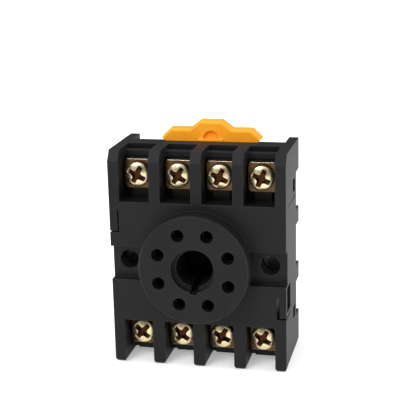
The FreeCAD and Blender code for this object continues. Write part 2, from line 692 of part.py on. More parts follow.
def make_washer(number):
    """Build one square clamp washer with chamfered corners."""
    column, row, _ = TERMINALS[number]
    height = UPPER_TERMINAL if row == "upper" else f"-{LOWER_TERMINAL}"
    body = new_body(f"clamp_washer_{number}", f"{column} * terminal_pitch", SEAT, height)
    sketch = front_sketch(body)
    rectangle(sketch, "-washer_width / 2", "washer_width / 2",
              "-washer_height / 2", "washer_height / 2")
    pad(body, sketch, "washer_thick", backwards=True)
    dress_edges(body, "PartDesign::Chamfer", "washer_corner",
                lambda edge: edge.BoundBox.YLength > edge.BoundBox.XLength + edge.BoundBox.ZLength)
    hole = front_sketch(body)
    circle(hole, "0", "0", "thread_radius + washer_play")
    pocket(body, hole, f"washer_thick + {FAR}")
    return body


def make_screw(number):
    """Build one terminal screw: turned pan head and shank, and a cross recess."""
    column, row, turn = TERMINALS[number]
    height = UPPER_TERMINAL if row == "upper" else f"-{LOWER_TERMINAL}"
    body = new_body(f"terminal_screw_{number}", f"{column} * terminal_pitch", f"{SEAT} - head_gap",
                    height, turn)
    profile = sketch_on(body, "XY_Plane")
    polygon(profile, [
        ("0", "-head_height"),
        ("head_radius", "-head_height"),
        ("head_radius", "0"),
        ("thread_radius", "0"),
        ("thread_radius", "shank_length - tip_chamfer"),
        ("thread_radius - tip_chamfer", "shank_length"),
        ("0", "shank_length"),
    ])
    turned = body.newObject("PartDesign::Revolution", "Revolution")
    turned.Profile = profile
    turned.ReferenceAxis = (origin(body, "Y_Axis"), [""])
    turned.Angle = 360
    doc.recompute()
    dress_edges(body, "PartDesign::Fillet", "head_round", lambda edge: flat_in(edge, "Y", "-head_height"))
    cross = front_sketch(body, "-head_height")
    reach, half = "cross_reach", "cross_width / 2"
    arm = [(half, half), (reach, half), (reach, f"-{half}"), (half, f"-{half}"), (half, f"-{reach}"),
           (f"-{half}", f"-{reach}"), (f"-{half}", f"-{half}"), (f"-{reach}", f"-{half}"),
           (f"-{reach}", half), (f"-{half}", half), (f"-{half}", reach), (half, reach)]
    polygon(cross, arm)
    pocket(body, cross, "cross_depth")
    return body


def export(bodies):
    """Check every object and write one file for each sub-part."""
    for item in doc.Objects:
        if "Invalid" in item.State or "Error" in item.State:
            raise ValueError(f"{item.Label} failed: {item.State}")
    for body in bodies:
        shape = body.Shape
        if shape.isNull() or not shape.isValid() or len(shape.Solids) != 1:
            raise ValueError(f"{body.Label} isn't one valid solid")
    os.makedirs("parts", exist_ok=True)
    for body in bodies:
        body.Shape.exportStep(f"parts/{body.Label}.step")
        print(body.Label, round(body.Shape.Volume, 2))


fill_sheet()
pieces = [make_housing(), make_rear_base(), make_latch()]
for terminal in TERMINALS:
    pieces += [make_contact(terminal), make_washer(terminal), make_screw(terminal)]
doc.recompute()
export(pieces)
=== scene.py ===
"""Looks of an eight-pin relay socket: moulded shells, rail latch, clamp screws and the studio."""
import json
import logging
import math
from dataclasses import dataclass, field
from enum import Enum

import bmesh
import bpy
from mathutils import Matrix, Vector


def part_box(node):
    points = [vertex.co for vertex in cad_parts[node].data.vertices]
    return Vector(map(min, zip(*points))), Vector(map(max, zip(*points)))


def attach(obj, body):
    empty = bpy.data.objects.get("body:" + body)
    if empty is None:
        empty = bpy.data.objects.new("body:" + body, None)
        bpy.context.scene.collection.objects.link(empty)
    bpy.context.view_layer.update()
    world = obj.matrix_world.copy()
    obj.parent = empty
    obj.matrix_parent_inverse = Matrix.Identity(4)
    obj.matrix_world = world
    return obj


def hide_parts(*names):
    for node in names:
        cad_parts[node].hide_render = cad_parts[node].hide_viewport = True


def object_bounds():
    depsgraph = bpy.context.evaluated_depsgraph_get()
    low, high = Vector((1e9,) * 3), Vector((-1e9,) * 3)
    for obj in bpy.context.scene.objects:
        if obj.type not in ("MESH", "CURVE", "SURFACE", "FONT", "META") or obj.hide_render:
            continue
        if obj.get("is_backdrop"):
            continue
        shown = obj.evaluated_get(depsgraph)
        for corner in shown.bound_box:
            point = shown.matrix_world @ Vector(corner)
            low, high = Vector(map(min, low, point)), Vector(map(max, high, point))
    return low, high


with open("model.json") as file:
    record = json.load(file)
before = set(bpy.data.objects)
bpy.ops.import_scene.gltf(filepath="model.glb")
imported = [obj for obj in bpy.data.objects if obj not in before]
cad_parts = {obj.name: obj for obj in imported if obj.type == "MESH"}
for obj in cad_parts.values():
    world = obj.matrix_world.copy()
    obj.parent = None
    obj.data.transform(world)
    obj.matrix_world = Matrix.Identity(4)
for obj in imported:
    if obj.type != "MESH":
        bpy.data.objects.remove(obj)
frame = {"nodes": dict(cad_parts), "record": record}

MM = 0.001
WELD = 1e-4 * MM
CREASE = math.radians(32)
# HOLLOW names the depth attribute that drives the painted shade in the screw recesses
HOLLOW = "recess_shade"
SCREW_TURNS = {1: 62.0, 2: 60.0, 3: 66.0, 4: 64.0, 5: 58.0, 6: 62.0, 7: 48.0, 8: 50.0}
log = logging.getLogger("relay_socket")

Colour = tuple[float, float, float]
Pair = tuple[float, float]
Feed = bpy.types.NodeSocket | float


class Slot(Enum):
    """The record's material slots."""

    HOUSING = "black_plastic"
    BASE = "base_plastic"
    LATCH = "orange_plastic"
    SCREW = "screw_steel"
    WASHER = "washer_steel"
    CONTACT = "contact_brass"


def mount_place(name: str) -> Vector:
    """Find the point of one of the record's mounts."""
    return Vector(next(mount["pos_m"] for mount in frame["record"]["mounts"] if mount["name"] == name))


class Board:
    """A node tree with short ways to place, set and join nodes."""

    def __init__(self, tree: bpy.types.NodeTree) -> None:
        """Keep the tree.

        Args:
            tree: the node tree to build in.
        """
        self.tree = tree

    def add(self, kind: str, inputs: dict | None = None, **settings: object) -> bpy.types.Node:
        """Place a node and set it up.

        Args:
            kind: the node's type name.
            inputs: socket name or number to a plain value or to a socket that feeds it.
            settings: the node's own properties.

        Returns:
            The new node.
        """
        node = self.tree.nodes.new(kind)
        for name, setting in settings.items():
            setattr(node, name, setting)
        for name, value in (inputs or {}).items():
            if isinstance(value, bpy.types.NodeSocket):
                self.tree.links.new(value, node.inputs[name])
            else:
                node.inputs[name].default_value = value
        return node

    def maths(self, operation: str, first: Feed, second: Feed = 0.0) -> bpy.types.NodeSocket:
        """Work out one sum and return its socket."""
        return self.add("ShaderNodeMath", {0: first, 1: second}, operation=operation).outputs[0]

    def span(self, value: bpy.types.NodeSocket, low: float, high: float) -> bpy.types.NodeSocket:
        """Spread the part of a value between two bounds over 0 to 1.

        Args:
            value: the socket to read.
            low: what becomes 0.
            high: what becomes 1.

        Returns:
            The clamped result's socket.
        """
        node = self.add("ShaderNodeMapRange", {"Value": value, "From Min": low, "From Max": high})
        return node.outputs["Result"]

    def blend(self, factor: Feed, first: bpy.types.NodeSocket | Colour,
              second: bpy.types.NodeSocket | Colour) -> bpy.types.NodeSocket:
        """Mix two colours.

        Args:
            factor: share of the second colour.
            first: the first colour or its socket.
            second: the second colour or its socket.

        Returns:
            The mixed colour's socket.
        """
        node = self.add("ShaderNodeMix", {0: factor}, data_type="RGBA")
        for number, colour in ((6, first), (7, second)):
            if isinstance(colour, bpy.types.NodeSocket):
                self.tree.links.new(colour, node.inputs[number])
            else:
                node.inputs[number].default_value = (*colour, 1.0)
        return node.outputs[2]


def new_group(name: str, wanted: dict[str, tuple[str, float]],
              given: dict[str, str]) -> tuple[Board, bpy.types.Node, bpy.types.Node]:
    """Start a shader node group with named sockets.

    Args:
        name: the group's name.
        wanted: input name to socket type and usual value.
        given: output name to socket type.

    Returns:
        The board, the input node and the output node.
    """
    tree = bpy.data.node_groups.new(name, "ShaderNodeTree")
    for label, (kind, usual) in wanted.items():
        tree.interface.new_socket(label, in_out="INPUT", socket_type=kind).default_value = usual
    for label, kind in given.items():
        tree.interface.new_socket(label, in_out="OUTPUT", socket_type=kind)
    board = Board(tree)
    return board, board.add("NodeGroupInput"), board.add("NodeGroupOutput")


def soft_edges(samples: int = 6, slight: float = 0.01, full: float = 0.2) -> bpy.types.NodeTree:
    """Build the group that finds a piece's outer edges, for a painted highlight along them and a rounded
    normal.

    Args:
        samples: rays that the bevel looks along.
        slight: turn of the bevelled normal at which the painted edge highlight starts.
        full: turn at which the painted edge highlight is full.

    Returns:
        A group from the width of the edges to a mask that is 1 on edges, where the finishes paint a
        highlight.
    """
    board, entry, exit_ = new_group(
        "soft_edges", {"Width": ("NodeSocketFloat", 0.2 * MM)},
        {"Edge": "NodeSocketFloat", "Normal": "NodeSocketVector"})
    rounded = board.add("ShaderNodeBevel", {"Radius": entry.outputs["Width"]}, samples=samples)
    plain = board.add("ShaderNodeNewGeometry")
    both = board.add("ShaderNodeVectorMath", {0: rounded.outputs[0], 1: plain.outputs["Normal"]},
                     operation="DOT_PRODUCT")
    turned = board.maths("SUBTRACT", 1.0, both.outputs["Value"])
    board.tree.links.new(board.span(turned, slight, full), exit_.inputs["Edge"])
    board.tree.links.new(rounded.outputs[0], exit_.inputs["Normal"])
    return board.tree


def mould_grain(wave_scale: float = 110.0, light: float = 0.3, dark: float = 0.7) -> bpy.types.NodeTree:
    """Build the group for the skin of a moulding: fine spark grain over slow waves of tone.

    Args:
        wave_scale: scale of the slow waves.
        light: height of a wave that keeps the first tone.
        dark: height of a wave that has the second tone.

    Returns:
        A group from scale to height and tone.
    """
    board, entry, exit_ = new_group(
        "mould_grain", {"Scale": ("NodeSocketFloat", 5200.0)},
        {"Height": "NodeSocketFloat", "Tone": "NodeSocketFloat"})
    place = board.add("ShaderNodeTexCoord").outputs["Object"]
    fine = board.add("ShaderNodeTexNoise",
                     {"Vector": place, "Scale": entry.outputs["Scale"], "Detail": 3.0, "Roughness": 0.6})
    slow = board.add("ShaderNodeTexNoise", {"Vector": place, "Scale": wave_scale, "Detail": 2.0})
    board.tree.links.new(fine.outputs[0], exit_.inputs["Height"])
    board.tree.links.new(board.span(slow.outputs[0], light, dark), exit_.inputs["Tone"])
    return board.tree


def plating_tint(rose: Pair = (0.52, 0.66), green: Pair = (0.5, 0.68), green_scale: float = 1.9,
                 film_scale: float = 9000.0) -> bpy.types.NodeTree:
    """Build the group for the rainbow cast of a chromate film, as two masks.

    Args:
        rose: heights of the noise at which the rose patches start and are full.
        green: the same for the green patches.
        green_scale: how much finer the green patches are than the rose ones.
        film_scale: scale of the film's own grain.

    Returns:
        A group from scale to a rose mask, a green mask and a fine height.
    """
    board, entry, exit_ = new_group(
        "plating_tint", {"Scale": ("NodeSocketFloat", 420.0)},
        {"Rose": "NodeSocketFloat", "Green": "NodeSocketFloat", "Height": "NodeSocketFloat"})
    place = board.add("ShaderNodeTexCoord").outputs["Object"]
    slow = board.add("ShaderNodeTexNoise", {"Vector": place, "Scale": entry.outputs["Scale"], "Detail": 2.0})
    quick = board.add("ShaderNodeTexNoise", {
        "Vector": place, "Scale": board.maths("MULTIPLY", entry.outputs["Scale"], green_scale),
        "Detail": 1.0})
    fine = board.add("ShaderNodeTexNoise", {"Vector": place, "Scale": film_scale, "Detail": 2.0})
    board.tree.links.new(board.span(slow.outputs[0], *rose), exit_.inputs["Rose"])
    board.tree.links.new(board.span(quick.outputs[0], *green), exit_.inputs["Green"])
    board.tree.links.new(fine.outputs[0], exit_.inputs["Height"])
    return board.tree


class Effects:
    """The shared shader groups, each built once."""

    def __init__(self) -> None:
        """Build the groups."""
        self.edges = soft_edges()
        self.grain = mould_grain()
        self.tint = plating_tint()


@dataclass(frozen=True)
class PlasticFinish:
    """A moulded plastic: base colour, its slow change of tone, gloss, grain and a painted highlight on its
    edges.
    """

    name: str
    colour: Colour
    shade: Colour
    edge_highlight: Colour
    roughness: float
    gloss: float
    grain: float
    grain_scale: float = 5200.0
    edge_width: float = 0.22 * MM
    edge_share: float = 0.6
    edge_polish: float = 0.12
    unevenness: float = 0.1
    grain_depth: float = 0.02 * MM
    glow: float = 0.0
    glow_reach: float = 0.6 * MM
    glow_spread: Colour = (1.0, 0.5, 0.15)

    def material(self, effects: Effects) -> bpy.types.Material:
        """Build the material.

        Args:
            effects: the shared groups.

        Returns:
            The material.
        """
        made = bpy.data.materials.new(self.name)
        made.use_nodes = True
        board = Board(made.node_tree)
        shader = made.node_tree.nodes["Principled BSDF"]
        edges = board.add("ShaderNodeGroup", node_tree=effects.edges)
        edges.inputs["Width"].default_value = self.edge_width
        grain = board.add("ShaderNodeGroup", node_tree=effects.grain)
        grain.inputs["Scale"].default_value = self.grain_scale
        toned = board.blend(grain.outputs["Tone"], self.colour, self.shade)
        # painted highlight: the paler edge colour is blended in along the outer edges
        share = board.maths("MULTIPLY", edges.outputs["Edge"], self.edge_share)
        highlighted = board.blend(share, toned, self.edge_highlight)
        polish = board.maths("MULTIPLY", edges.outputs["Edge"], -self.edge_polish)
        uneven = board.maths("MULTIPLY", grain.outputs["Height"], self.unevenness)
        even = board.maths("ADD", polish, self.roughness - self.unevenness / 2)
        rough = board.maths("ADD", even, uneven)
        bump = board.add("ShaderNodeBump", {
            "Strength": self.grain, "Distance": self.grain_depth, "Height": grain.outputs["Height"],
            "Normal": edges.outputs["Normal"]})
        links = made.node_tree.links
        links.new(highlighted, shader.inputs["Base Color"])
        links.new(rough, shader.inputs["Roughness"])
        links.new(bump.outputs[0], shader.inputs["Normal"])
        shader.inputs["Specular IOR Level"].default_value = self.gloss
        if self.glow:
            shader.inputs["Subsurface Weight"].default_value = self.glow
            shader.inputs["Subsurface Radius"].default_value = self.glow_spread
            shader.inputs["Subsurface Scale"].default_value = self.glow_reach
        return made


@dataclass(frozen=True)
class PlatedFinish:
    """A plated metal with a rose and a green cast, a painted shade in its hollows and a painted highlight on
    its edges.
    """

    name: str
    colour: Colour
    rose: Colour
    green: Colour
    recess_shade: Colour
    edge_highlight: Colour
    roughness: float
    cast: float
    tint_scale: float = 420.0
    edge_width: float = 0.08 * MM
    edge_share: float = 0.5
    hollow_start: float = 0.04
    hollow_full: float = 0.22
    hollow_dulling: float = 0.3
    rose_dulling: float = 0.08
    film_strength: float = 0.15
    film_depth: float = 0.01 * MM

    def material(self, effects: Effects) -> bpy.types.Material:
        """Build the material.

        Args:
            effects: the shared groups.

        Returns:
            The material.
        """
        made = bpy.data.materials.new(self.name)
        made.use_nodes = True
        board = Board(made.node_tree)
        shader = made.node_tree.nodes["Principled BSDF"]
        tint = board.add("ShaderNodeGroup", node_tree=effects.tint)
        tint.inputs["Scale"].default_value = self.tint_scale
        edges = board.add("ShaderNodeGroup", node_tree=effects.edges)
        edges.inputs["Width"].default_value = self.edge_width
        rosy = board.blend(board.maths("MULTIPLY", tint.outputs["Rose"], self.cast), self.colour, self.rose)
        green = board.blend(board.maths("MULTIPLY", tint.outputs["Green"], self.cast), rosy, self.green)
        # painted shade: the darker recess colour grows with a point's depth below the crown
        depth = board.add("ShaderNodeAttribute", attribute_name=HOLLOW).outputs["Fac"]
        sunk = board.span(depth, self.hollow_start, self.hollow_full)
        deep = board.blend(sunk, green, self.recess_shade)
        # painted highlight: the pale edge colour is blended in along the outer edges
        highlighted = board.blend(board.maths("MULTIPLY", edges.outputs["Edge"], self.edge_share), deep, self.edge_highlight)
        uneven = board.maths("MULTIPLY", tint.outputs["Rose"], self.rose_dulling)
        dull = board.maths("MULTIPLY", sunk, self.hollow_dulling)
        rough = board.maths("ADD", board.maths("ADD", uneven, dull), self.roughness)
        bump = board.add("ShaderNodeBump", {
            "Strength": self.film_strength, "Distance": self.film_depth, "Height": tint.outputs["Height"],
            "Normal": edges.outputs["Normal"]})
        links = made.node_tree.links
        links.new(highlighted, shader.inputs["Base Color"])
        links.new(rough, shader.inputs["Roughness"])
        links.new(bump.outputs[0], shader.inputs["Normal"])
        shader.inputs["Metallic"].default_value = 1.0
        return made


# In every finish the edge colour is a painted highlight along the outer edges, and in the plated ones the
# recess colour is a painted shade inside the screw recess.
FINISHES = {
    Slot.HOUSING: PlasticFinish(
        "charcoal_moulding", colour=(0.006, 0.006, 0.0066), shade=(0.0085, 0.0085, 0.0092),
        edge_highlight=(0.055, 0.055, 0.057), roughness=0.52, gloss=0.2, grain=0.3),
    Slot.BASE: PlasticFinish(
        "black_moulding", colour=(0.0035, 0.0035, 0.0038), shade=(0.005, 0.005, 0.0053),
        edge_highlight=(0.03, 0.03, 0.032), roughness=0.6, gloss=0.13, grain=0.4),
    Slot.LATCH: PlasticFinish(
        "orange_moulding", colour=(1.0, 0.36, 0.01), shade=(1.0, 0.4, 0.014),
        edge_highlight=(1.0, 0.62, 0.12), roughness=0.42, gloss=0.3, grain=0.12, glow=0.25),
    Slot.SCREW: PlatedFinish(
        "yellow_zinc", colour=(0.86, 0.7, 0.44), rose=(0.92, 0.56, 0.48), green=(0.62, 0.7, 0.34),
        recess_shade=(0.09, 0.034, 0.01), edge_highlight=(0.95, 0.9, 0.74), roughness=0.26, cast=0.8),
    # painted shade: the washers' yellow zinc is darkened to dark brown for the dark surroundings their faces
    # reflect, with a bright painted highlight on their edges
    Slot.WASHER: PlatedFinish(
        "washer_zinc_painted_shade", colour=(0.09, 0.048, 0.023), rose=(0.125, 0.044, 0.026), green=(0.06, 0.06, 0.026),
        recess_shade=(0.1, 0.05, 0.02), edge_highlight=(0.9, 0.8, 0.66), roughness=0.24, cast=0.8, tint_scale=300.0,
        edge_width=0.2 * MM, edge_share=0.9),
    # painted shade: the brass contacts are darkened to near black for the shade inside the bays and pin
    # holes, with a painted highlight on their edges
    Slot.CONTACT: PlatedFinish(
        "brass_painted_shade", colour=(0.03, 0.027, 0.022), rose=(0.036, 0.026, 0.02),
        green=(0.027, 0.027, 0.022), recess_shade=(0.02, 0.02, 0.02), edge_highlight=(0.12, 0.11, 0.1), roughness=0.5,
        cast=0.6),
}


def as_mesh(name: str, shape: bmesh.types.BMesh) -> bpy.types.Mesh:
    """Turn a shape into a mesh, and use the shape up."""
    mesh = bpy.data.meshes.new(name)
    shape.to_mesh(mesh)
    shape.free()
    return mesh


def soften(mesh: bpy.types.Mesh) -> None:
    """Shade a mesh smooth, with creases where its faces turn sharply."""
    mesh.shade_smooth()
    mesh.set_sharp_from_angle(angle=CREASE)


def drop_slivers(mesh: bpy.types.Mesh) -> None:
    """Join corners that the cuts left on one spot, so that the surface stays closed."""
    cleaned = bmesh.new()
    cleaned.from_mesh(mesh)
    bmesh.ops.dissolve_degenerate(cleaned, dist=WELD, edges=cleaned.edges)
    cleaned.to_mesh(mesh)
    cleaned.free()


def stand(name: str, data: bpy.types.ID) -> bpy.types.Object:
    """Put a new object in the scene."""
    placed = bpy.data.objects.new(name, data)
    bpy.context.scene.collection.objects.link(placed)
    return placed


def new_piece(name: str, mesh: bpy.types.Mesh, material: bpy.types.Material,
              body: str) -> bpy.types.Object:
    """Put a mesh in the scene as a piece of the socket.

    Args:
        name: the piece's name.
        mesh: its mesh, in metres in the shared frame.
        material: its material.
        body: the moving body that it rides on.

    Returns:
        The new object.
    """
    mesh.materials.clear()
    mesh.materials.append(material)
    piece = stand(name, mesh)
    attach(piece, body)
    return piece


def dress(node: str, material: bpy.types.Material) -> None:
    """Give a carried-over piece its material."""
    for mesh_slot in frame["nodes"][node].material_slots:
        mesh_slot.material = material


def prism(outline: list[Vector], along: Vector) -> bmesh.types.BMesh:
    """Push a flat outline along a direction.

    Args:
        outline: its corners in order.
        along: how far and which way it is pushed.

    Returns:
        The closed prism.
    """
    pushed = bmesh.new()
    near = [pushed.verts.new(corner) for corner in outline]
    far = [pushed.verts.new(corner + along) for corner in outline]
    pushed.faces.new(near)
    pushed.faces.new(list(reversed(far)))
    for k in range(len(near)):
        after = (k + 1) % len(near)
        pushed.faces.new((near[k], far[k], far[after], near[after]))
    bmesh.ops.recalc_face_normals(pushed, faces=pushed.faces)
    return pushed


def block(low: Vector, high: Vector) -> bmesh.types.BMesh:
    """Make a block between two corners."""
    corners = [Vector((low.x, low.y, low.z)), Vector((high.x, low.y, low.z)),
               Vector((high.x, high.y, low.z)), Vector((low.x, high.y, low.z))]
    return prism(corners, Vector((0.0, 0.0, high.z - low.z)))


def together(shapes: list[bmesh.types.BMesh]) -> bmesh.types.BMesh:
    """Gather separate shapes in one mesh."""
    whole = bmesh.new()
    for shape in shapes:
        held = as_mesh("held", shape)
        whole.from_mesh(held)
        bpy.data.meshes.remove(held)
    return whole


def combine(mesh: bpy.types.Mesh, tool: bmesh.types.BMesh, operation: str) -> bpy.types.Mesh:
    """Cut a tool from a closed mesh, or add it.

    Args:
        mesh: the mesh to work on, which is used up.
        tool: the closed tool, which is used up.
        operation: DIFFERENCE or UNION.

    Returns:
        The new mesh.
    """
    blank = stand("blank", mesh)
    shape = stand("tool", as_mesh("tool", tool))
    work = blank.modifiers.new("work", "BOOLEAN")
    work.operation = operation
    work.object = shape
    work.solver = "EXACT"
    bpy.context.view_layer.update()
    result = bpy.data.meshes.new_from_object(blank.evaluated_get(bpy.context.evaluated_depsgraph_get()))
    for spent in (blank, shape):
        spent_mesh = spent.data
        bpy.data.objects.remove(spent)
        bpy.data.meshes.remove(spent_mesh)
    return result


def welded_copy(node: str) -> bpy.types.Mesh:
    """Copy a carried-over piece's faces, with its split corners joined and no stored normals."""
    welded = bmesh.new()
    welded.from_mesh(frame["nodes"][node].data)
    bmesh.ops.remove_doubles(welded, verts=welded.verts, dist=WELD)
    welded.verts.index_update()
    mesh = bpy.data.meshes.new(f"{node}_copy")
    mesh.from_pydata([corner.co.copy() for corner in welded.verts], [],
                     [[corner.index for corner in face.verts] for face in welded.faces])
    welded.free()
    return mesh


@dataclass
class Shells:
    """The moulded front shell and rear base, with the terminal numbers on the front."""

    materials: dict[Slot, bpy.types.Material]
    boss_rise: float = 4.6 * MM
    beyond: float = 2.0 * MM  # how far a cutting tool reaches past the shell
    chamfer_drop: float = 2.4 * MM
    chamfer_back: float = 1.7 * MM
    foot_round: float = 1.0 * MM
    foot_steps: int = 6
    terminal_pitch: float = 9.6 * MM
    lower_bay_width: float = 6.8 * MM
    seam_height: float = 13.5 * MM
    seam_front: float = 2.7 * MM
    seam_length: float = 11.4 * MM
    seam_width: float = 0.25 * MM
    seam_depth: float = 0.3 * MM
    finger_width: float = 1.85 * MM
    slot_width: float = 0.35 * MM
    slot_low: float = 6.9 * MM
    slot_high: float = 12.3 * MM
    slot_depth: float = 4.0 * MM
    slot_reach: float = 6.3 * MM
    window_low: float = 5.0 * MM
    skin: float = 0.02 * MM  # how far the slot's filling goes into its walls
    digit_height: float = 1.9 * MM
    digit_rise: float = 0.1 * MM
    digit_share: float = 0.7  # a digit's height over the font's size
    digits: dict[str, Pair] = field(default_factory=lambda: {
        "7": (-14.2 * MM, -12.9 * MM), "8": (-4.8 * MM, -13.3 * MM),
        "1": (4.8 * MM, -13.3 * MM), "2": (14.4 * MM, -12.9 * MM)})

    def digit(self, text: str, x: float, z: float) -> bpy.types.Object:
        """Raise one number from the front face.

        Args:
            text: the number.
            x: its centre across the socket.
            z: its centre above the boss's centre.

        Returns:
            The piece.
        """
        curve = bpy.data.curves.new(f"number_{text}", "FONT")
        curve.body = text
        curve.align_x = "CENTER"
        curve.align_y = "CENTER"
        curve.size = self.digit_height / self.digit_share
        curve.extrude = self.digit_rise
        drawn = bpy.data.objects.new(f"number_{text}_drawing", curve)
        mesh = bpy.data.meshes.new_from_object(drawn)
        bpy.data.objects.remove(drawn)
        boss = mount_place("relay_pins")
        upright = Matrix.Rotation(math.radians(90), 4, "X")
        mesh.transform(Matrix.Translation(boss + Vector((x, self.boss_rise, z))) @ upright)
        return new_piece(f"number_{text}", mesh, self.materials[Slot.HOUSING], "socket")

    def foot_corners(self, low: Vector, high: Vector) -> bmesh.types.BMesh:
        """Make the tool that rounds both lower corners of each barrier.

        Args:
            low: the shell's lowest corner.
            high: its highest corner.

        Returns:
            Ten prisms along the depth.
        """
        bay_edges = [side * self.lower_bay_width / 2 + column * self.terminal_pitch
                     for column in (-1.5, -0.5, 0.5, 1.5) for side in (-1, 1)]
        edges = [low.x, *bay_edges, high.x]
        radius = self.foot_round
        spare = radius / 2
        corners = []
        for number, x in enumerate(edges):
            inward = 1 if number % 2 == 0 else -1
            middle = Vector((x + inward * radius, low.z + radius))
            outline = [(x - inward * spare, low.z - spare), (middle.x, low.z - spare)]
            for step in range(self.foot_steps + 1):
                angle = math.pi / 2 * step / self.foot_steps
                outline.append((middle.x - inward * radius * math.sin(angle),
                                middle.y - radius * math.cos(angle)))
            outline.append((x - inward * spare, middle.y))
            start = low.y - self.beyond
            corners.append(prism([Vector((across, start, height)) for across, height in outline],
                                 Vector((0.0, high.y - low.y + 2 * self.beyond, 0.0))))
        return together(corners)

    def end_chamfer(self, low: Vector, high: Vector, front: float) -> bmesh.types.BMesh:
        """Make the tool for the slope along the front of the upper barriers.

        Args:
            low: the shell's lowest corner.
            high: its highest corner.
            front: depth of the front face.

        Returns:
            A prism across the width.
        """
        slope = Vector((0.0, self.chamfer_back, self.chamfer_drop))
        start = Vector((low.x - self.beyond, front, high.z - self.chamfer_drop))
        outer = Vector((start.x, front - 2 * self.beyond, high.z + 2 * self.beyond))
        return prism([start - slope, start + 2 * slope, outer],
                     Vector((high.x - low.x + 2 * self.beyond, 0.0, 0.0)))

    def left_finger(self, low: Vector, front: float,
                    centre: float) -> tuple[bmesh.types.BMesh, list[bmesh.types.BMesh]]:
        """Make the block that closes the left slot and the tools for the finer blind slot in it.

        Args:
            low: the shell's lowest corner.
            front: depth of the front face.
            centre: height of the boss's centre.

        Returns:
            The block, and the tools for the slot and its foot.
        """
        left, skin = low.x, self.skin
        inner = left + self.finger_width + self.slot_width
        filling = block(
            Vector((left + skin, front + skin, centre + self.window_low - skin)),
            Vector((inner + skin, front + self.slot_reach + skin, centre + self.slot_high + skin)))
        upright = block(
            Vector((left + self.finger_width, front - self.beyond, centre + self.slot_low)),
            Vector((inner, front + self.slot_depth, centre + self.slot_high)))
        foot = block(
            Vector((left - self.beyond, front - self.beyond, centre + self.slot_low)),
            Vector((inner, front + self.slot_depth / 2, centre + self.slot_low + self.slot_width)))
        return filling, [upright, foot]

    def side_seam(self, high: Vector, front: float, centre: float) -> bmesh.types.BMesh:
        """Make the tool for the fine seam on the right side.

        Args:
            high: the shell's highest corner.
            front: depth of the front face.
            centre: height of the boss's centre.

        Returns:
            A thin block.
        """
        height = centre + self.seam_height
        return block(
            Vector((high.x - self.seam_depth, front + self.seam_front, height)),
            Vector((high.x + self.beyond, front + self.seam_front + self.seam_length,
                    height + self.seam_width)))

    def front_shell(self) -> bpy.types.Object:
        """Work the finer mouldings into a copy of the front shell.

        Returns:
            The piece that stands for the shell.
        """
        low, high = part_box("housing")
        front = low.y + self.boss_rise
        centre = mount_place("relay_pins").z
        mesh = welded_copy("housing")
        filling, slots = self.left_finger(low, front, centre)
        mesh = combine(mesh, filling, "UNION")
        for tool in (*slots, self.end_chamfer(low, high, front), self.foot_corners(low, high),
                     self.side_seam(high, front, centre)):
            mesh = combine(mesh, tool, "DIFFERENCE")
        drop_slivers(mesh)
        soften(mesh)
        piece = new_piece("front_shell", mesh, self.materials[Slot.HOUSING], "socket")
        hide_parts("housing")
        return piece

    def build(self) -> list[str]:
        """Shape and dress the shells and raise the numbers.

        Returns:
            The names of the pieces.
        """
        shell = self.front_shell()
        dress("rear_base", self.materials[Slot.BASE])
        raised = [self.digit(text, *place) for text, place in self.digits.items()]
        return [shell.name, "rear_base"] + [piece.name for piece in raised]


@dataclass
class Latch:
    """The orange rail latch."""

    materials: dict[Slot, bpy.types.Material]

    def build(self) -> list[str]:
        """Dress the latch.

        Returns:
            The names of the pieces.
        """
        dress("rail_latch", self.materials[Slot.LATCH])
        return ["rail_latch"]


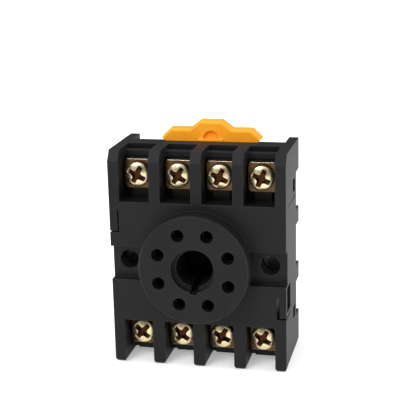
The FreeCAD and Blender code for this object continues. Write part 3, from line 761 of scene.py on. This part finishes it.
@dataclass
class Terminal:
    """One terminal: contact, clamp washer and a cross-recessed screw with a rolled thread."""

    number: int
    turn: float
    materials: dict[Slot, bpy.types.Material]
    head_height: float = 2.0 * MM
    thread_pitch: float = 0.6 * MM
    thread_depth: float = 0.3 * MM
    tip_taper: float = 0.5 * MM
    thread_radius: float = 1.75 * MM
    rim_inset: float = 0.15 * MM
    rim_height: float = 1.35 * MM
    rim_round: float = 0.25 * MM
    rim_foot: float = 0.08 * MM
    foot_share: float = 0.96
    rim_bulge: Pair = (0.25, 0.15)  # the rim's rounding halfway, inwards and down
    crown_turn: float = math.radians(26)
    crown_steps: int = 14
    recess_top: float = 2.8 * MM
    recess_floor: float = 0.95 * MM
    arm_top: float = 0.68 * MM
    arm_floor: float = 0.38 * MM
    arm_corner: float = 0.95
    lobe_round: float = 0.6 * MM
    lobe_steps: int = 5
    floor_sharpness: float = 0.4
    recess_depth: float = 1.5 * MM
    recess_tip: float = 0.1 * MM
    cutter_lift: float = 0.3 * MM
    hollow_limit: float = 0.93  # share of the head's radius in which the recess lies
    head_sides: int = 64
    thread_sides: int = 24
    rows_per_turn: int = 6

    def head_profile(self, radius: float) -> list[Pair]:
        """List the pan head's outline, from the rim's foot to the crown.

        Args:
            radius: the head's radius.

        Returns:
            Pairs of radius and height above the seat.
        """
        inset = radius - self.rim_round
        rim_top = self.rim_height - self.rim_round
        profile = [(radius * self.foot_share, 0.0), (radius, self.rim_foot), (radius, rim_top),
                   (radius - self.rim_round * self.rim_bulge[0],
                    self.rim_height - self.rim_round * self.rim_bulge[1])]
        for step in range(self.crown_steps):
            reach = inset * (1 - step / self.crown_steps)
            profile.append((reach, self.crown_height(radius, reach)))
        profile.append((0.0, self.head_height))
        return profile

    def crown_height(self, radius: float, reach: float) -> float:
        """Give the crown's height above the seat at a reach from the axis."""
        angle = math.asin(min(reach / radius, 1.0) * math.sin(self.crown_turn))
        share = (math.cos(angle) - math.cos(self.crown_turn)) / (1 - math.cos(self.crown_turn))
        return self.rim_height + (self.head_height - self.rim_height) * share

    def lathe(self, profile: list[Pair]) -> bmesh.types.BMesh:
        """Turn an outline round the Z axis, with a flat face on its first ring.

        Args:
            profile: pairs of radius and height, the last one on the axis.

        Returns:
            The turned mesh.
        """
        turned = bmesh.new()
        rings = []
        for radius, height in profile:
            if radius == 0.0:
                rings.append([turned.verts.new((0.0, 0.0, height))])
                continue
            angles = [math.tau * k / self.head_sides for k in range(self.head_sides)]
            rings.append([turned.verts.new((radius * math.cos(angle), radius * math.sin(angle), height))
                          for angle in angles])
        for low, high in zip(rings, rings[1:]):
            for k in range(self.head_sides):
                after = (k + 1) % self.head_sides
                if len(high) == 1:
                    turned.faces.new((low[k], low[after], high[0]))
                else:
                    turned.faces.new((low[k], low[after], high[after], high[k]))
        turned.faces.new(reversed(rings[0]))
        return turned

    def recess_ring(self, reach: float, half: float, rounding: float) -> list[Pair]:
        """List the outline of the cross at one height.

        Args:
            reach: how far its arms reach from the axis.
            half: half an arm's width.
            rounding: radius of the lobes between the arms.

        Returns:
            Points round the axis.
        """
        shoulder = reach * self.arm_corner
        quarter = [(reach, -half / 2), (reach, half / 2), (shoulder, half)]
        centre = half + rounding
        for step in range(self.lobe_steps + 1):
            angle = math.pi / 2 * step / self.lobe_steps
            quarter.append((centre - rounding * math.sin(angle), centre - rounding * math.cos(angle)))
        quarter.append((half, shoulder))
        ring = []
        for turn in range(4):
            turned = Matrix.Rotation(math.pi / 2 * turn, 2)
            ring += [tuple(turned @ Vector(point)) for point in quarter]
        return ring

    def recess_cutter(self) -> bmesh.types.BMesh:
        """Make the tapered cross that is cut from the head."""
        cutter = bmesh.new()
        slope = (self.recess_top - self.recess_floor) / self.recess_depth
        floor = self.head_height - self.recess_depth
        levels = [
            (self.recess_top + slope * self.cutter_lift, self.arm_top, self.lobe_round,
             self.head_height + self.cutter_lift),
            (self.recess_floor, self.arm_floor, self.lobe_round * self.floor_sharpness, floor)]
        rings = [[cutter.verts.new((x, y, height)) for x, y in self.recess_ring(reach, half, rounding)]
                 for reach, half, rounding, height in levels]
        count = len(rings[0])
        for k in range(count):
            after = (k + 1) % count
            cutter.faces.new((rings[0][k], rings[1][k], rings[1][after], rings[0][after]))
        cutter.faces.new(rings[0])
        tip = cutter.verts.new((0.0, 0.0, floor - self.recess_tip))
        for k in range(count):
            cutter.faces.new((rings[1][k], tip, rings[1][(k + 1) % count]))
        bmesh.ops.recalc_face_normals(cutter, faces=cutter.faces)
        return cutter

    def mark_hollow(self, mesh: bpy.types.Mesh, radius: float) -> None:
        """Note how deep each point of the head lies below its crown, for the painted shade in the recess.

        Args:
            mesh: the screw's mesh, its axis on Z and its seat at 0.
            radius: the head's radius.
        """
        depths = mesh.attributes.new(HOLLOW, "FLOAT", "POINT")
        for vertex, depth in zip(mesh.vertices, depths.data):
            reach = math.hypot(vertex.co.x, vertex.co.y)
            if vertex.co.z > 0.0 and reach < radius * self.hollow_limit:
                depth.value = (self.crown_height(radius, reach) - vertex.co.z) / self.recess_depth

    def thread(self, radius: float, length: float) -> bmesh.types.BMesh:
        """Sweep a rolled thread down the shank from the seat.

        Args:
            radius: the thread's outer radius.
            length: the shank's length.

        Returns:
            The closed thread.
        """
        swept = bmesh.new()
        around = self.thread_sides
        rows = int(length / self.thread_pitch * self.rows_per_turn)
        rings = []
        for row in range(rows + 1):
            depth = length * row / rows
            ring = []
            for k in range(around):
                phase = (depth / self.thread_pitch + k / around) % 1.0
                groove = self.thread_depth * abs(2 * phase - 1)
                taper = max(0.0, depth - (length - self.tip_taper))
                reach = radius - max(groove, taper)
                angle = math.tau * k / around
                ring.append(swept.verts.new((reach * math.cos(angle), reach * math.sin(angle), -depth)))
            rings.append(ring)
        for low, high in zip(rings, rings[1:]):
            for k in range(around):
                after = (k + 1) % around
                swept.faces.new((low[k], high[k], high[after], low[after]))
        swept.faces.new(rings[0])
        swept.faces.new(reversed(rings[-1]))
        return swept

    def screw(self) -> bpy.types.Object:
        """Build the screw in place of the plain solid."""
        low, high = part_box(f"terminal_screw_{self.number}")
        radius = (high.x - low.x) / 2 - self.rim_inset
        centre = (low + high) / 2
        seat = low.y + self.head_height
        head = as_mesh("pan_head", self.lathe(self.head_profile(radius)))
        shaped = combine(head, self.recess_cutter(), "DIFFERENCE")
        whole = self.thread(self.thread_radius, high.y - seat)
        whole.from_mesh(shaped)
        mesh = as_mesh(f"clamp_screw_{self.number}", whole)
        self.mark_hollow(mesh, radius)
        facing = Matrix.Rotation(math.radians(90), 4, "X")
        turned = Matrix.Rotation(math.radians(self.turn), 4, "Z")
        mesh.transform(Matrix.Translation((centre.x, seat, centre.z)) @ facing @ turned)
        soften(mesh)
        piece = new_piece(f"clamp_screw_{self.number}", mesh, self.materials[Slot.SCREW],
                          f"screw_{self.number}")
        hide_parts(f"terminal_screw_{self.number}")
        return piece

    def build(self) -> list[str]:
        """Dress the contact and washer and build the screw.

        Returns:
            The names of the pieces.
        """
        dress(f"contact_{self.number}", self.materials[Slot.CONTACT])
        dress(f"clamp_washer_{self.number}", self.materials[Slot.WASHER])
        return [f"contact_{self.number}", f"clamp_washer_{self.number}", self.screw().name]


@dataclass(frozen=True)
class Lamp:
    """A soft square lamp: where it hangs in metres, its side in metres and its power in watts."""

    name: str
    place: tuple[float, float, float]
    size: float
    power: float


@dataclass
class Studio:
    """The white floor and surroundings, the lamps and the camera."""

    floor_size: float = 4.0
    floor_white: Colour = (0.92, 0.92, 0.92)
    floor_roughness: float = 0.7
    floor_lift: float = 0.32
    surround: float = 0.95
    dim: float = 0.16
    dim_sides: Pair = (0.3, 0.75)
    dim_top: Pair = (0.45, 0.85)
    lamps: tuple[Lamp, ...] = (
        Lamp("key", (-0.25, -0.5, 0.55), 0.35, 2.6), Lamp("side", (0.65, 0.05, 0.35), 0.4, 1.8))
    lamp_aim: float = 25 * MM
    camera_place: tuple[float, float, float] = (56.39 * MM, -228.55 * MM, 79.59 * MM)
    yaw: float = math.radians(13.36)
    pitch: float = math.radians(15.01)
    roll: float = math.radians(1.40)
    focal_length: float = 99.84
    sensor: float = 36.0
    nearest: float = 10 * MM

    def seen(self, board: Board) -> bpy.types.NodeSocket:
        """Tell which rays come from the camera, a gloss or a clear piece."""
        path = board.add("ShaderNodeLightPath")
        some = board.maths("MAXIMUM", path.outputs["Is Camera Ray"], path.outputs["Is Glossy Ray"])
        return board.maths("MAXIMUM", some, path.outputs["Is Transmission Ray"])

    def floor(self) -> bpy.types.Object:
        """Lay the white floor under the socket."""
        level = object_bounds()[0].z
        half = self.floor_size / 2
        plane = bmesh.new()
        corners = [(-half, -half), (half, -half), (half, half), (-half, half)]
        plane.faces.new([plane.verts.new((x, y, level)) for x, y in corners])
        mesh = as_mesh("floor", plane)
        white = bpy.data.materials.new("white_floor")
        white.use_nodes = True
        board = Board(white.node_tree)
        shader = white.node_tree.nodes["Principled BSDF"]
        shader.inputs["Base Color"].default_value = (*self.floor_white, 1.0)
        shader.inputs["Roughness"].default_value = self.floor_roughness
        shader.inputs["Emission Color"].default_value = (1.0, 1.0, 1.0, 1.0)
        glow = board.maths("MULTIPLY", self.seen(board), self.floor_lift)
        white.node_tree.links.new(glow, shader.inputs["Emission Strength"])
        mesh.materials.append(white)
        floor = stand("floor", mesh)
        floor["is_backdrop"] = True
        return floor

    def surroundings(self) -> None:
        """Set an even light, white where it is seen, with low dim walls in front and behind for the gloss."""
        world = bpy.data.worlds.new("studio")
        world.use_nodes = True
        world.node_tree.nodes.clear()
        board = Board(world.node_tree)
        direction = board.add("ShaderNodeTexCoord").outputs["Generated"]
        parts = board.add("ShaderNodeSeparateXYZ", {0: direction})
        sideways = board.span(board.maths("ABSOLUTE", parts.outputs["X"]), *self.dim_sides)
        upward = board.span(parts.outputs["Z"], *self.dim_top)
        walls = board.add("ShaderNodeMapRange", {
            "Value": board.maths("MAXIMUM", sideways, upward), "To Min": self.dim, "To Max": 1.0})
        gloss = board.add("ShaderNodeLightPath").outputs["Is Glossy Ray"]
        shown = board.add("ShaderNodeMix", {0: gloss, 2: 1.0, 3: walls.outputs["Result"]})
        lit = board.add("ShaderNodeBackground", {"Strength": self.surround})
        white = board.add("ShaderNodeBackground", {"Strength": shown.outputs[0]})
        for background in (lit, white):
            background.inputs["Color"].default_value = (1.0, 1.0, 1.0, 1.0)
        mixed = board.add("ShaderNodeMixShader", {0: self.seen(board)})
        out = board.add("ShaderNodeOutputWorld")
        links = world.node_tree.links
        links.new(lit.outputs[0], mixed.inputs[1])
        links.new(white.outputs[0], mixed.inputs[2])
        links.new(mixed.outputs[0], out.inputs["Surface"])
        bpy.context.scene.world = world

    def hang(self, lamp: Lamp) -> None:
        """Hang one lamp and point it at the socket.

        Args:
            lamp: the lamp.
        """
        light = bpy.data.lights.new(lamp.name, "AREA")
        light.size = lamp.size
        light.energy = lamp.power
        hung = stand(lamp.name, light)
        hung.location = lamp.place
        towards = Vector((0.0, 0.0, self.lamp_aim)) - Vector(lamp.place)
        hung.rotation_euler = towards.to_track_quat("-Z", "Y").to_euler()

    def camera(self) -> None:
        """Stand the camera where the photograph was taken from."""
        ahead = Vector((-math.sin(self.yaw) * math.cos(self.pitch),
                        math.cos(self.yaw) * math.cos(self.pitch), -math.sin(self.pitch)))
        level = ahead.cross(Vector((0.0, 0.0, 1.0))).normalized()
        plumb = ahead.cross(level)
        right = math.cos(self.roll) * level + math.sin(self.roll) * plumb
        down = -math.sin(self.roll) * level + math.cos(self.roll) * plumb
        lens = bpy.data.cameras.new("camera")
        lens.lens = self.focal_length
        lens.sensor_width = self.sensor
        lens.clip_start = self.nearest
        turned = Matrix((right, -down, -ahead)).transposed().to_4x4()
        place = mount_place("relay_pins") + Vector(self.camera_place)
        viewer = stand("camera", lens)
        viewer.matrix_world = Matrix.Translation(place) @ turned
        bpy.context.scene.camera = viewer

    def build(self) -> None:
        """Set up the studio."""
        self.floor()
        self.surroundings()
        for lamp in self.lamps:
            self.hang(lamp)
        self.camera()
        bpy.context.scene.view_settings.view_transform = "Standard"


def main() -> None:
    """Build everything in order and log each piece as it is ready."""
    logging.basicConfig(level=logging.INFO, format="%(name)s: %(message)s")
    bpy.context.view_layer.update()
    effects = Effects()
    materials = {slot: finish.material(effects) for slot, finish in FINISHES.items()}
    assemblies = [Shells(materials), Latch(materials)]
    assemblies += [Terminal(number, turn, materials) for number, turn in SCREW_TURNS.items()]
    for assembly in assemblies:
        for name in assembly.build():
            log.info("%s is ready", name)
    Studio().build()


if __name__ == "__main__":
    main()
